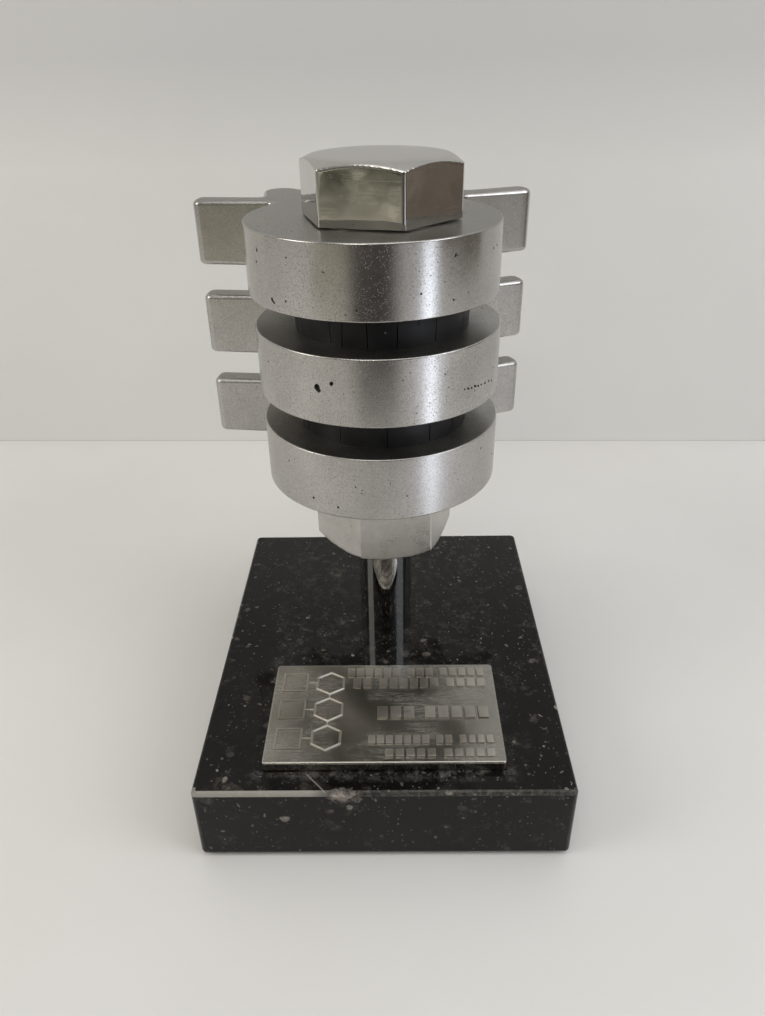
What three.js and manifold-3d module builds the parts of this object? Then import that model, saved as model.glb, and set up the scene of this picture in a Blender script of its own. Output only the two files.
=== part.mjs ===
// A spine-like desk ornament. Three cast vertebra-shaped links and two black discs are
// clamped by one big hexagon bolt and its nut, on a chromed post that stands on a stone
// block with a metal plate. Millimetres, +Z up. The origin is on the table, under the
// middle of the stone block, and -Y is the side that the plate faces.

import * as THREE from 'three';
import { mergeVertices } from 'three/addons/utils/BufferGeometryUtils.js';
import Module from 'manifold-3d';

const wasm = await Module();
wasm.setup();

// Stone block and the felt under it.
const blockWidth = 100;
const blockDepth = 122.4;
const blockHeight = 24.1;
const blockCorner = 1.6;
const blockBevel = 1.1;
const feltThickness = 1;
const feltInset = 2;

// Where the post stands, from the middle of the block.
const stackX = 0.4;
const stackY = 11.6;

// Post, and the screw and stud that hold it.
const postDiameter = 16.6;
const postShown = 34.8;
const postBevel = 0.5;
const screwDiameter = 8;
const screwIntoPost = 16;
const screwHeadAcross = 13;
const screwHeadHeight = 5.3;
const washerDiameter = 24;
const washerThickness = 2;
const lockWasherDiameter = 14.8;
const lockWasherThickness = 2;
const lockWasherSlit = 1.5;
const studDiameter = 8;
const studIntoPost = 14;
const studIntoBolt = 12;

// Clamp bolt and its nut.
const boltDiameter = 24;
const boltLength = 90;
const boltBevel = 1.5;
const hexAcross = 36;
const headHeight = 14.2;
const headRise = 0.5;
const headTurn = 16;
const washerFaceDiameter = 34;
const washerFaceHeight = 0.4;
const nutHeight = 20.9;
const nutTurn = -18.7;

// Vertebra links. The outline's round front is turned on its own centre, which lies a little
// behind the bolt and, in each link, a little further to the left than in the one below.
const linkThickness = 18;
const linkTurns = [7.6, 7.6, 7.6];
const linkBevel = 0.8;
const discRadius = 33.3;
const discBack = 3.1;
const discShifts = [-0.3, -0.7, -1.6];
const neckHalfWidth = 26.8;
const neckFillet = 2.6;
const wingThickness = 7.4;
const wingReach = 49.2;
const wingBack = 38;
const wingSweep = 14;
const wingCorner = 2.4;
const lobeX = 24;
const lobeY = 47.2;
const lobeRadius = 5.6;
const lobeFillet = 1.6;
const valleyRadius = 8;
const spineHalfWidth = 4.5;
const spineStraight = 1.5;
const canalRadius = 5.5;
const canalY = 37;

// Black discs between the links.
const spacerRadius = 23.5;
const spacerThicknesses = [8.6, 8.6];
const spacerBevel = 1;

// Plate on the block.
const plateWidth = 64.7;
const plateDepth = 37.9;
const plateThickness = 2.6;
const plateCorner = 1;
const plateBevel = 0.5;
const plateY = -34.9;
const tapeThickness = 0.3;
const tapeInset = 1.2;

// Clearances.
const seat = 0.05;
const slip = 0.1;
const threadGap = 0.15;
const swivelGap = 0.5;
const screwHoleGap = 0.5;
const washerGap = 1;

// Heights, from the table up.
const blockBottom = feltThickness;
const blockTop = blockBottom + blockHeight;
const nutBottom = blockTop + postShown;
const nutTop = nutBottom + nutHeight;
const linkBottoms = [];
const spacerBottoms = [];
let level = nutTop + slip;
for (let i = 0; i < linkTurns.length; i += 1) {
  linkBottoms.push(level);
  level += linkThickness + slip;
  if (i < spacerThicknesses.length) {
    spacerBottoms.push(level);
    level += spacerThicknesses[i] + slip;
  }
}
const headBottom = level;
const boltTip = headBottom - boltLength;
const postTop = boltTip - slip;
const postLength = postTop - blockTop - seat;

const rad = THREE.MathUtils.degToRad;

// Circles take a step about every 7 degrees, and small ones fewer.
const roundSteps = 52;
const smallSteps = 24;

function material(color, roughness, metalness) {
  return new THREE.MeshStandardMaterial({ color, roughness, metalness });
}

function toSolid(geometry) {
  const plain = geometry.clone();
  plain.deleteAttribute('normal');
  plain.deleteAttribute('uv');
  const merged = mergeVertices(plain, 1e-4);
  return new wasm.Manifold(new wasm.Mesh({
    numProp: 3,
    vertProperties: new Float32Array(merged.attributes.position.array),
    triVerts: new Uint32Array(merged.index.array),
  }));
}

function toGeometry(solid) {
  const mesh = solid.getMesh();
  const geometry = new THREE.BufferGeometry();
  geometry.setAttribute('position', new THREE.BufferAttribute(mesh.vertProperties, 3));
  geometry.setIndex(new THREE.BufferAttribute(mesh.triVerts, 1));
  geometry.computeVertexNormals();
  return geometry;
}

// Spins [radius, height] points about Z. The list starts and ends on the axis, or closes.
function turned(points, steps = roundSteps) {
  const profile = points.map(([radius, height]) => new THREE.Vector2(radius, height));
  return new THREE.LatheGeometry(profile, steps).rotateX(Math.PI / 2);
}

function rod(radius, bottom, top, bevel, steps = roundSteps) {
  return turned([
    [0, bottom], [radius - bevel, bottom], [radius, bottom + bevel],
    [radius, top - bevel], [radius - bevel, top], [0, top],
  ], steps);
}

function ring(inner, outer, bottom, top, bevel, steps = roundSteps) {
  return turned([
    [inner, bottom], [outer - bevel, bottom], [outer, bottom + bevel],
    [outer, top - bevel], [outer - bevel, top], [inner, top], [inner, bottom],
  ], steps);
}

// A slab of the given outline from z = 0 up, with its edges bevelled inside that outline.
function slab(outline, thickness, bevel) {
  return new THREE.ExtrudeGeometry(outline, {
    depth: thickness - 2 * bevel,
    bevelEnabled: bevel > 0,
    bevelThickness: bevel,
    bevelSize: bevel,
    bevelOffset: -bevel,
    bevelSegments: 2,
    curveSegments: 6,
  }).translate(0, 0, bevel);
}

function roundedRectangle(width, depth, corner) {
  const x = width / 2;
  const y = depth / 2;
  const outline = new THREE.Shape();
  outline.absarc(x - corner, y - corner, corner, 0, Math.PI / 2);
  outline.absarc(corner - x, y - corner, corner, Math.PI / 2, Math.PI);
  outline.absarc(corner - x, corner - y, corner, Math.PI, 1.5 * Math.PI);
  outline.absarc(x - corner, corner - y, corner, 1.5 * Math.PI, 2 * Math.PI);
  outline.closePath();
  return outline;
}

function circleHole(x, y, radius, steps) {
  const points = [];
  for (let i = 0; i < steps; i += 1) {
    const angle = -i * 2 * Math.PI / steps;
    points.push(new THREE.Vector2(x + radius * Math.cos(angle), y + radius * Math.sin(angle)));
  }
  return new THREE.Path(points);
}

function hexPrism(across, bottom, top) {
  const prism = new THREE.CylinderGeometry(across / Math.sqrt(3), across / Math.sqrt(3), top - bottom, 6);
  return toSolid(prism.rotateX(Math.PI / 2).translate(0, 0, (top + bottom) / 2));
}

// The point at the given distance from a centre, on the line that runs from start along dir.
function pointOnLine(start, dir, centre, distance) {
  const from = start.clone().sub(centre);
  const middle = from.dot(dir);
  const reach = -middle + Math.sqrt(middle * middle - from.lengthSq() + distance * distance);
  return start.clone().addScaledVector(dir, reach);
}

// The point at the given x on the line that runs from start along dir.
function pointAtX(start, dir, x) {
  return start.clone().addScaledVector(dir, (x - start.x) / dir.x);
}

// Right half of a link's outline, from the front of the disc round to the tip of the spine.
// The disc's centre is shift from the middle, towards the half's own side if it is positive.
// Each fillet's centre stays at its radius from the two lines or circles that it joins.
function halfOutline(shift) {
  const sweep = rad(wingSweep);
  const out = new THREE.Vector2(Math.cos(sweep), Math.sin(sweep));
  const back = new THREE.Vector2(-out.y, out.x);
  const wingEnd = new THREE.Vector2(wingReach, wingBack);
  const half = wingThickness / 2;
  const middle = new THREE.Vector2(shift, discBack);
  const lobe = new THREE.Vector2(lobeX, lobeY);

  const neckSide = new THREE.Vector2(neckHalfWidth + neckFillet, 0);
  const discFillet = pointOnLine(neckSide, new THREE.Vector2(0, 1), middle, discRadius + neckFillet);
  const frontLine = wingEnd.clone().addScaledVector(back, -half - neckFillet);
  const frontFillet = pointAtX(frontLine, out, neckSide.x);
  const backLine = wingEnd.clone().addScaledVector(back, half + lobeFillet);
  const backFillet = pointAtX(backLine, out, lobeX + lobeRadius + lobeFillet);
  const spineSide = new THREE.Vector2(spineHalfWidth + valleyRadius, 0);
  const valley = pointOnLine(spineSide, new THREE.Vector2(0, 1), lobe, lobeRadius + valleyRadius);

  const inward = half - wingCorner;
  const tipFront = wingEnd.clone().addScaledVector(back, -inward).addScaledVector(out, -wingCorner);
  const tipBack = wingEnd.clone().addScaledVector(back, inward).addScaledVector(out, -wingCorner);

  const path = new THREE.Path();
  const discAngle = discFillet.clone().sub(middle).angle();
  const valleyAngle = valley.clone().sub(lobe).angle();
  path.absarc(middle.x, middle.y, discRadius, -Math.PI / 2, discAngle, false);
  path.absarc(discFillet.x, discFillet.y, neckFillet, discAngle + Math.PI, Math.PI, true);
  path.absarc(frontFillet.x, frontFillet.y, neckFillet, Math.PI, sweep + Math.PI / 2, true);
  path.absarc(tipFront.x, tipFront.y, wingCorner, sweep - Math.PI / 2, sweep, false);
  path.absarc(tipBack.x, tipBack.y, wingCorner, sweep, sweep + Math.PI / 2, false);
  path.absarc(backFillet.x, backFillet.y, lobeFillet, sweep - Math.PI / 2, -Math.PI, true);
  path.absarc(lobe.x, lobe.y, lobeRadius, 0, valleyAngle, false);
  path.absarc(valley.x, valley.y, valleyRadius, valleyAngle + Math.PI, Math.PI, true);
  path.absarc(0, valley.y + spineStraight, spineHalfWidth, 0, Math.PI / 2, false);
  return path;
}

// Samples each arc of the path with a number of steps that suits its length.
function sampled(path) {
  const points = [];
  for (const curve of path.curves) {
    const steps = Math.max(1, Math.min(26, Math.round(curve.getLength() / 2.2) + 2));
    for (const point of curve.getPoints(curve.isLineCurve ? 1 : steps)) {
      const last = points[points.length - 1];
      if (!last || last.distanceTo(point) > 1e-3) {
        points.push(point);
      }
    }
  }
  return points;
}

function linkShape(shift) {
  const right = sampled(halfOutline(shift));
  const other = sampled(halfOutline(-shift)).slice(1, -1).reverse();
  const left = other.map((point) => new THREE.Vector2(-point.x, point.y));
  const outline = new THREE.Shape([...right, ...left]);
  outline.holes.push(circleHole(0, 0, boltDiameter / 2 + swivelGap, roundSteps));
  outline.holes.push(circleHole(0, canalY, canalRadius, smallSteps));
  return outline;
}

function blockGeometry() {
  const outline = roundedRectangle(blockWidth, blockDepth, blockCorner);
  const block = toSolid(slab(outline, blockHeight, blockBevel));
  const pocketDepth = screwHeadHeight + lockWasherThickness + washerThickness + washerGap;
  const pocket = rod(washerDiameter / 2 + washerGap, -1, pocketDepth, 0);
  const hole = rod(screwDiameter / 2 + screwHoleGap, -1, blockHeight + 1, 0, smallSteps);
  const cuts = toSolid(pocket).add(toSolid(hole)).translate([stackX, stackY, 0]);
  return toGeometry(block.subtract(cuts));
}

// Screw from below: its washers sit against the roof of the pocket in the block.
const pocketRoof = blockBottom + screwHeadHeight + lockWasherThickness + washerThickness + washerGap;
const washerTop = pocketRoof - seat;
const lockWasherTop = washerTop - washerThickness - seat;
const screwHeadTop = lockWasherTop - lockWasherThickness - seat;

function screwGeometry() {
  const head = hexPrism(screwHeadAcross, screwHeadTop - screwHeadHeight, screwHeadTop);
  const shank = rod(screwDiameter / 2, screwHeadTop - 1, blockTop + screwIntoPost, 0.6, smallSteps);
  return toGeometry(head.add(toSolid(shank)));
}

function washerGeometry() {
  const inner = screwDiameter / 2 + screwHoleGap;
  return ring(inner, washerDiameter / 2, washerTop - washerThickness, washerTop, 0, smallSteps);
}

function lockWasherGeometry() {
  const bottom = lockWasherTop - lockWasherThickness;
  const inner = screwDiameter / 2 + threadGap;
  const whole = toSolid(ring(inner, lockWasherDiameter / 2, bottom, lockWasherTop, 0, smallSteps));
  const slit = new THREE.BoxGeometry(lockWasherDiameter, lockWasherSlit, 3 * lockWasherThickness);
  slit.rotateX(rad(30)).translate(lockWasherDiameter / 2 + 1, 0, lockWasherTop - lockWasherThickness / 2);
  return toGeometry(whole.subtract(toSolid(slit)));
}

function postGeometry() {
  const body = toSolid(rod(postDiameter / 2, 0, postLength, postBevel));
  const lowerRadius = screwDiameter / 2 + threadGap;
  const upperRadius = studDiameter / 2 + threadGap;
  const lower = rod(lowerRadius, -1, screwIntoPost + 1, 0, smallSteps);
  const upper = rod(upperRadius, postLength - studIntoPost - 1, postLength + 1, 0, smallSteps);
  return toGeometry(body.subtract(toSolid(lower)).subtract(toSolid(upper)));
}

function nutGeometry() {
  const outer = hexPrism(hexAcross, 0, nutHeight);
  const corner = hexAcross / Math.sqrt(3);
  const drop = (corner - hexAcross / 2) * Math.tan(rad(30));
  const tips = turned([
    [0, 0], [hexAcross / 2, 0], [corner, drop], [corner, nutHeight - drop],
    [hexAcross / 2, nutHeight], [0, nutHeight],
  ]);
  const bore = boltDiameter / 2 + threadGap;
  const lead = 1;
  const hole = turned([
    [0, -1], [bore + lead + 1, -1], [bore, lead], [bore, nutHeight - lead],
    [bore + lead + 1, nutHeight + 1], [0, nutHeight + 1],
  ]);
  return toGeometry(outer.intersect(toSolid(tips)).subtract(toSolid(hole)));
}

// The head's top is a very flat dome that a 30 degree chamfer cuts back at the corners.
function boltGeometry() {
  const hexBottom = washerFaceHeight;
  const hexTop = washerFaceHeight + headHeight;
  const corner = hexAcross / Math.sqrt(3);
  const flat = hexAcross / 2;
  const drop = (corner - flat + 0.8) * Math.tan(rad(24));
  const under = (corner - flat) * Math.tan(rad(6));
  const cap = turned([
    [0, hexBottom], [flat, hexBottom], [corner, hexBottom + under], [corner, hexTop - drop],
    [flat - 0.8, hexTop], [flat - 3, hexTop + 0.55 * headRise], [0, hexTop + headRise],
  ]);
  const head = hexPrism(hexAcross, hexBottom, hexTop + headRise).intersect(toSolid(cap));
  const face = rod(washerFaceDiameter / 2, 0, washerFaceHeight + 0.5, 0);
  const shank = rod(boltDiameter / 2, -boltLength, 1, boltBevel);
  const boreRadius = studDiameter / 2 + threadGap;
  const bore = rod(boreRadius, -boltLength - 1, studIntoBolt + 1 - boltLength, 0, smallSteps);
  return toGeometry(head.add(toSolid(face)).add(toSolid(shank)).subtract(toSolid(bore)));
}

const stone = material(0x17181a, 0.18, 0);
const felt = material(0x1c1c1e, 0.95, 0);
const chrome = material(0xd9dbdd, 0.06, 1);
const satinSteel = material(0xb9bab8, 0.28, 1);
const zinc = material(0xa8abad, 0.4, 1);
const castAluminium = material(0xb4b2ad, 0.36, 1);
const blackRubber = material(0x141416, 0.55, 0);
const pewter = material(0xa9a399, 0.32, 1);
const tapeWhite = material(0x8d8a84, 0.8, 0);

const sculpture = new THREE.Group();
const stack = new THREE.Group();
stack.position.set(stackX, stackY, 0);
sculpture.add(stack);

function place(parent, name, geometry, surface, height = 0, turn = 0) {
  const mesh = new THREE.Mesh(geometry, surface);
  mesh.name = name;
  mesh.position.z = height;
  mesh.rotation.z = rad(turn);
  parent.add(mesh);
  return mesh;
}

const feltOutline = roundedRectangle(blockWidth - 2 * feltInset, blockDepth - 2 * feltInset, blockCorner);
place(sculpture, 'felt_pad', slab(feltOutline, feltThickness, 0), felt);
place(sculpture, 'base_block', blockGeometry(), stone, blockBottom);

const tapeOutline = roundedRectangle(plateWidth - 2 * tapeInset, plateDepth - 2 * tapeInset, plateCorner);
const tapeSlab = slab(tapeOutline, tapeThickness - seat, 0);
const tape = place(sculpture, 'plate_tape', tapeSlab, tapeWhite, blockTop + seat);
tape.position.y = plateY;
const plateOutline = roundedRectangle(plateWidth, plateDepth, plateCorner);
const plateSlab = slab(plateOutline, plateThickness, plateBevel);
const plate = place(sculpture, 'name_plate', plateSlab, pewter, blockTop + seat + tapeThickness);
plate.position.y = plateY;

place(stack, 'base_screw', screwGeometry(), zinc);
place(stack, 'base_lock_washer', lockWasherGeometry(), zinc);
place(stack, 'base_washer', washerGeometry(), zinc);
place(stack, 'post', postGeometry(), chrome, blockTop + seat);
const studBottom = postTop - studIntoPost;
const studTop = boltTip + studIntoBolt;
place(stack, 'joining_stud', rod(studDiameter / 2, studBottom, studTop, 0.6, smallSteps), zinc);
place(stack, 'lower_nut', nutGeometry(), satinSteel, nutBottom, nutTurn);
place(stack, 'clamp_bolt', boltGeometry(), chrome, headBottom, headTurn);

const linkNames = ['vertebra_lower', 'vertebra_middle', 'vertebra_upper'];
linkNames.forEach((name, i) => {
  const geometry = slab(linkShape(discShifts[i]), linkThickness, linkBevel);
  place(stack, name, geometry, castAluminium, linkBottoms[i], linkTurns[i]);
});
const spacerNames = ['disc_lower', 'disc_upper'];
spacerNames.forEach((name, i) => {
  const geometry = ring(boltDiameter / 2 + swivelGap, spacerRadius, 0, spacerThicknesses[i], spacerBevel);
  place(stack, name, geometry, blackRubber, spacerBottoms[i]);
});

export default sculpture;
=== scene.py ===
import bpy
import random
from math import atan2, cos, hypot, pi, radians, sin, sqrt
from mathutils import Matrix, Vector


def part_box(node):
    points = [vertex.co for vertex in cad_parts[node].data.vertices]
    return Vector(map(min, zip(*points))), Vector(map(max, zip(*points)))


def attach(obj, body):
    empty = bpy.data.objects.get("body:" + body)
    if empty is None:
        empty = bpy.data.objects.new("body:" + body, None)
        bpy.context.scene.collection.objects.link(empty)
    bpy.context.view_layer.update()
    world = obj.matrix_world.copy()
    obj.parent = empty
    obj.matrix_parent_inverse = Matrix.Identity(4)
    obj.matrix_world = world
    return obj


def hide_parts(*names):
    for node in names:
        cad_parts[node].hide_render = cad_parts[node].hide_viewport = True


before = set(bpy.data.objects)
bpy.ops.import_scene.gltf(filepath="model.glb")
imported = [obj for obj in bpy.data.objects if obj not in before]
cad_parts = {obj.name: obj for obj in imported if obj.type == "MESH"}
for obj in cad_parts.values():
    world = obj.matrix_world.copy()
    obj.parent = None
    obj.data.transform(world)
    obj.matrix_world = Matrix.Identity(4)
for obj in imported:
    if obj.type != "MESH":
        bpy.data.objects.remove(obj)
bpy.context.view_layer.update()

# Camera, a little above the sculpture and close to it, looking down on the plate side.
bpy.ops.object.select_all(action="DESELECT")
bpy.ops.object.camera_add(
    location=(0.00279, -0.19696, 0.19049),
    rotation=(radians(59.345), radians(0.739), radians(0.278)),
)
camera = bpy.context.object
camera.data.sensor_width = 36
camera.data.lens = 27.86
camera.data.shift_x = -0.0015
camera.data.clip_start = 0.01
bpy.context.scene.camera = camera
bpy.context.scene.view_settings.view_transform = "Standard"


# White table against a white wall. Both are painted and matt, with only a trace of
# grain, and the wall is seen from its own room only.
WALL_Y, WALL_TURN, WALL_MIDDLE = 0.1954, -1.244, 3.001


def new_surface(name, values):
    """A node material whose shader has these plain values."""
    material = bpy.data.materials.new(name)
    material.use_nodes = True
    shader = material.node_tree.nodes["Principled BSDF"]
    for socket, value in values.items():
        shader.inputs[socket].default_value = value
    return material


def node(material, kind, inputs=None, **settings):
    """Adds a node to the material; inputs are plain values or other nodes' outputs."""
    made = material.node_tree.nodes.new("ShaderNode" + kind)
    for key, value in settings.items():
        setattr(made, key, value)
    for key, value in (inputs or {}).items():
        if isinstance(value, bpy.types.NodeSocket):
            material.node_tree.links.new(value, made.inputs[key])
        else:
            made.inputs[key].default_value = value
    return made


def ramp(material, factor, stops):
    """A colour ramp's output, from (position, colour) stops; a number is a grey."""
    made = node(material, "ValToRGB", {"Fac": factor})
    while len(made.color_ramp.elements) < len(stops):
        made.color_ramp.elements.new(0.5)
    for element, (position, colour) in zip(made.color_ramp.elements, stops):
        element.position = position
        grey = isinstance(colour, (int, float))
        element.color = (colour, colour, colour, 1) if grey else (*colour, 1)
    return made.outputs["Color"]


def noise(material, where, scale, detail=4.0, rough=0.55):
    """A noise texture's plain value, from 0 to 1."""
    inputs = {"Vector": where, "Scale": scale, "Detail": detail, "Roughness": rough}
    return node(material, "TexNoise", inputs).outputs["Fac"]


def maths(material, operation, a, b=0.0, clamp=False):
    return node(
        material, "Math", {0: a, 1: b}, operation=operation, use_clamp=clamp
    ).outputs[0]


def mixed(material, factor, a, b):
    """Colour a where the factor is 0 and colour b where it is 1."""
    made = node(material, "Mix", {0: factor}, data_type="RGBA")
    for socket, value in ((made.inputs[6], a), (made.inputs[7], b)):
        if isinstance(value, bpy.types.NodeSocket):
            material.node_tree.links.new(value, socket)
        else:
            socket.default_value = (*value, 1)
    return made.outputs[2]


def spread(material, value, low, high, to_low, to_high):
    """The value's span from low to high, laid over to_low to to_high."""
    inputs = {
        "Value": value, "From Min": low, "From Max": high,
        "To Min": to_low, "To Max": to_high,
    }
    return node(material, "MapRange", inputs).outputs["Result"]


def position(material):
    """The place on the piece, in metres, as the textures read it."""
    return node(material, "TexCoord").outputs["Object"]


def bump(material, height, distance, strength=1.0, under=None):
    inputs = {"Height": height, "Distance": distance, "Strength": strength}
    if under is not None:
        inputs["Normal"] = under
    return node(material, "Bump", inputs).outputs["Normal"]


def finish_with(material, **outputs):
    """Links texture outputs to the shader's sockets, named with _ for a space."""
    shader = material.node_tree.nodes["Principled BSDF"]
    for socket, output in outputs.items():
        material.node_tree.links.new(output, shader.inputs[socket.replace("_", " ")])


def painted(name, low, high, roughness):
    material = new_surface(name, {"Roughness": roughness})
    where = position(material)
    tone = noise(material, where, 9, 5)
    grain = noise(material, where, 900, 3)
    finish_with(
        material,
        Base_Color=ramp(material, tone, [(0.3, low), (0.7, high)]),
        Normal=bump(material, grain, 0.00006, 0.35),
    )
    return material


bpy.ops.mesh.primitive_plane_add(size=6, location=(0, 0, 0))
table = bpy.context.object
table.name = "table"
table.data.materials.append(
    painted("white_table", (0.725, 0.71, 0.685), (0.755, 0.745, 0.73), 0.42)
)
bpy.ops.mesh.primitive_plane_add(
    size=6, location=(0, WALL_Y, WALL_MIDDLE), rotation=(pi / 2, 0, radians(WALL_TURN))
)
wall = bpy.context.object
wall.name = "wall"
wall_paint = painted("wall_paint", (0.79, 0.78, 0.755), (0.825, 0.815, 0.795), 0.6)
# Painted shade: the wall's colour is darker higher up, and a painted shadow line runs along its
# foot where it meets the table.
wall_height = node(wall_paint, "SeparateXYZ", {0: position(wall_paint)}).outputs[1]
wall_shader = wall_paint.node_tree.nodes["Principled BSDF"]
wall_plain = wall_shader.inputs["Base Color"].links[0].from_socket
wall_painted_shade_high = spread(wall_paint, wall_height, -2.86, -2.815, 0, 0.85)
wall_shaded_tone = mixed(wall_paint, wall_painted_shade_high, wall_plain, (0.64, 0.635, 0.63))
wall_painted_foot_shadow = spread(wall_paint, wall_height, -3.0006, -2.9992, 0.75, 0)
finish_with(
    wall_paint, Base_Color=mixed(wall_paint, wall_painted_foot_shadow, wall_shaded_tone, (0.3, 0.27, 0.22))
)
back_side = node(wall_paint, "NewGeometry").outputs["Backfacing"]
clear = node(wall_paint, "BsdfTransparent").outputs["BSDF"]
one_sided = node(
    wall_paint, "MixShader", {0: back_side, 1: wall_shader.outputs[0], 2: clear}
).outputs[0]
wall_paint.node_tree.links.new(
    one_sided, wall_paint.node_tree.nodes["Material Output"].inputs[0]
)
wall.data.materials.append(wall_paint)


# Soft daylight: a window on the right, a paler one on the left, a lamp and the ceiling
# above, and glowing boards round the table, which only reflections show: painted reflections.
def window(name, place, aim, width, height, power, colour):
    bpy.ops.object.light_add(type="AREA", location=place)
    lamp = bpy.context.object
    lamp.name = name
    lamp.data.shape = "RECTANGLE"
    lamp.data.size, lamp.data.size_y = width, height
    lamp.data.energy = power
    lamp.data.color = colour
    lamp.visible_camera = False
    away = lamp.location.copy()
    away.x, away.y, away.z = (p - a for p, a in zip(place, aim))
    lamp.rotation_euler = away.to_track_quat("Z", "Y").to_euler()
    return lamp


AIM = (0, 0, 0.09)
window("window_right", (0.75, -0.32, 0.62), AIM, 0.5, 0.6, 2.9, (0.9, 0.95, 1.0))
window("window_left", (-0.8, -0.25, 0.55), AIM, 0.4, 0.5, 2.3, (1.0, 0.96, 0.88))
window("ceiling", (0.15, -0.1, 1.3), AIM, 1.3, 1.0, 5.3, (1.0, 0.99, 0.97))
window("lamp_left", (-0.13, -0.41, 0.52), (-0.03, -0.06, 0.026), 0.16, 0.1, 0.35,
       (1.0, 0.95, 0.84))


def times(material, a, b):
    return maths(material, "MULTIPLY", a, b)


def card(name, place, width, height, soft, stops, scale, foot=None):
    """A glowing board facing the stack, a painted reflection that only reflections show; its sides
    and top fade out.
    """
    bpy.ops.mesh.primitive_plane_add(size=1, location=place)
    board = bpy.context.object
    board.name = name
    away = board.location.copy()
    away.z = 0
    away.negate()
    board.rotation_euler = away.to_track_quat("Z", "Y").to_euler()
    board.scale = (width, height, 1)
    bpy.ops.object.transform_apply(location=False, rotation=False, scale=True)
    paint = bpy.data.materials.new(name)
    paint.use_nodes = True
    paint.node_tree.nodes.remove(paint.node_tree.nodes["Principled BSDF"])
    where = position(paint)
    tint = ramp(paint, noise(paint, where, scale, 3), stops)
    spot = node(paint, "SeparateXYZ", {0: where})
    if foot:
        low = spread(paint, spot.outputs[1], -height * 0.3, -height * 0.12, 0.85, 0)
        tint = mixed(paint, low, tint, foot)
    glow = node(paint, "Emission", {"Color": tint, "Strength": 1.0}).outputs[0]
    aside = maths(paint, "ABSOLUTE", spot.outputs[0])
    inner = spread(paint, aside, width / 2 * (1 - soft), width / 2, 1, 0)
    below = spread(paint, spot.outputs[1], height / 2 * (1 - soft), height / 2, 1, 0)
    solid = node(
        paint, "MixShader",
        {0: times(paint, inner, below),
         1: node(paint, "BsdfTransparent").outputs["BSDF"], 2: glow},
    ).outputs[0]
    paint.node_tree.links.new(solid, paint.node_tree.nodes["Material Output"].inputs[0])
    board.data.materials.append(paint)
    board.visible_camera = False
    board.visible_diffuse = False
    board.visible_shadow = False
    return board


# Glowing boards as painted reflections: a dark figure in front, the room to the left and right,
# and a window's glare.
card("dark_figure", (0.0, -0.27, 0.16), 0.27, 0.34, 0.5,
     [(0.35, (0.03, 0.026, 0.027)), (0.65, (0.13, 0.11, 0.1))], 12)
card("left_room", (-0.27, -0.4, 0.15), 0.36, 0.32, 0.35,
     [(0.38, (0.025, 0.027, 0.018)), (0.5, (0.12, 0.12, 0.085)), (0.6, (0.55, 0.53, 0.44))], 20,
     (0.5, 0.47, 0.37))
card("right_room", (0.6, -0.06, 0.2), 0.7, 0.4, 0.3,
     [(0.35, (0.09, 0.075, 0.06)), (0.65, (0.26, 0.22, 0.18))], 8)
card("window_glare", (0.113, -0.101, 0.08), 0.045, 0.17, 0.75,
     [(0.3, (2.5, 2.7, 3.05)), (0.7, (3.0, 3.15, 3.55))], 5)

sky = bpy.data.worlds.new("studio")
bpy.context.scene.world = sky
sky.use_nodes = True
around = node(sky, "SeparateXYZ", {0: node(sky, "TexCoord").outputs["Generated"]})
front = spread(sky, around.outputs["Y"], -0.9, 0.1, 0.25, 0.44)
seen = node(sky, "LightPath").outputs["Is Camera Ray"]
pale = node(sky, "Mix", {0: seen, 2: front, 3: 0.66}).outputs[0]
backdrop = sky.node_tree.nodes["Background"]
backdrop.inputs["Color"].default_value = (1.0, 0.99, 0.97, 1)
sky.node_tree.links.new(pale, backdrop.inputs["Strength"])


# Base: a sawn block of black fossil marble, polished all over, with its edges eased by
# hand. A knock has bruised the front edge, and the screw comes up through a pocket.
BLOCK_CORNER = 0.0016
BLOCK_EASE = 0.0011
STACK_X, STACK_Y = 0.0004, 0.0116
POCKET_RADIUS, POCKET_DEPTH = 0.013, 0.0103
SCREW_HOLE = 0.0045
BRUISE_PLACE, BRUISE_REACH = (-0.0105, -0.0612, 0.0243), (0.0092, 0.0042, 0.0055)
SCRATCH_X, SCRATCH_Y, SCRATCH_SLOPE = -0.0178, -0.0578, -0.9
block_low, block_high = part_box("base_block")


def only(*pieces):
    """Selects these pieces and nothing else; the last one is active."""
    bpy.ops.object.select_all(action="DESELECT")
    for piece in pieces:
        piece.select_set(True)
    bpy.context.view_layer.objects.active = pieces[-1]


def pick(piece, faces=None, edges=None):
    """Goes into edit mode with only the faces or edges selected that pass the test."""
    only(piece)
    bpy.ops.object.mode_set(mode="EDIT")
    bpy.ops.mesh.select_mode(type="FACE" if faces else "EDGE")
    bpy.ops.mesh.select_all(action="DESELECT")
    bpy.ops.object.mode_set(mode="OBJECT")
    if faces:
        for face in piece.data.polygons:
            face.select = faces(face.center, face.normal)
    else:
        spots_of = piece.data.vertices
        for edge in piece.data.edges:
            a, b = (spots_of[i].co for i in edge.vertices)
            edge.select = edges((a + b) / 2, (b - a).normalized())
    bpy.ops.object.mode_set(mode="EDIT")


def done_editing():
    bpy.ops.object.mode_set(mode="OBJECT")


def settle(piece):
    """Puts the piece's place, turn and size into its mesh."""
    only(piece)
    bpy.ops.object.transform_apply(location=True, rotation=True, scale=True)


def slab_between(name, low, high):
    """A box with these two corners."""
    middle = [(a + b) / 2 for a, b in zip(low, high)]
    size = [b - a for a, b in zip(low, high)]
    bpy.ops.mesh.primitive_cube_add(size=1, location=middle, scale=size)
    piece = bpy.context.object
    piece.name = name
    settle(piece)
    return piece


def cylinder_between(name, x, y, radius, bottom, top, sides=96):
    bpy.ops.mesh.primitive_cylinder_add(
        vertices=sides, radius=radius, depth=top - bottom, location=(x, y, (top + bottom) / 2)
    )
    piece = bpy.context.object
    piece.name = name
    settle(piece)
    return piece


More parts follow.
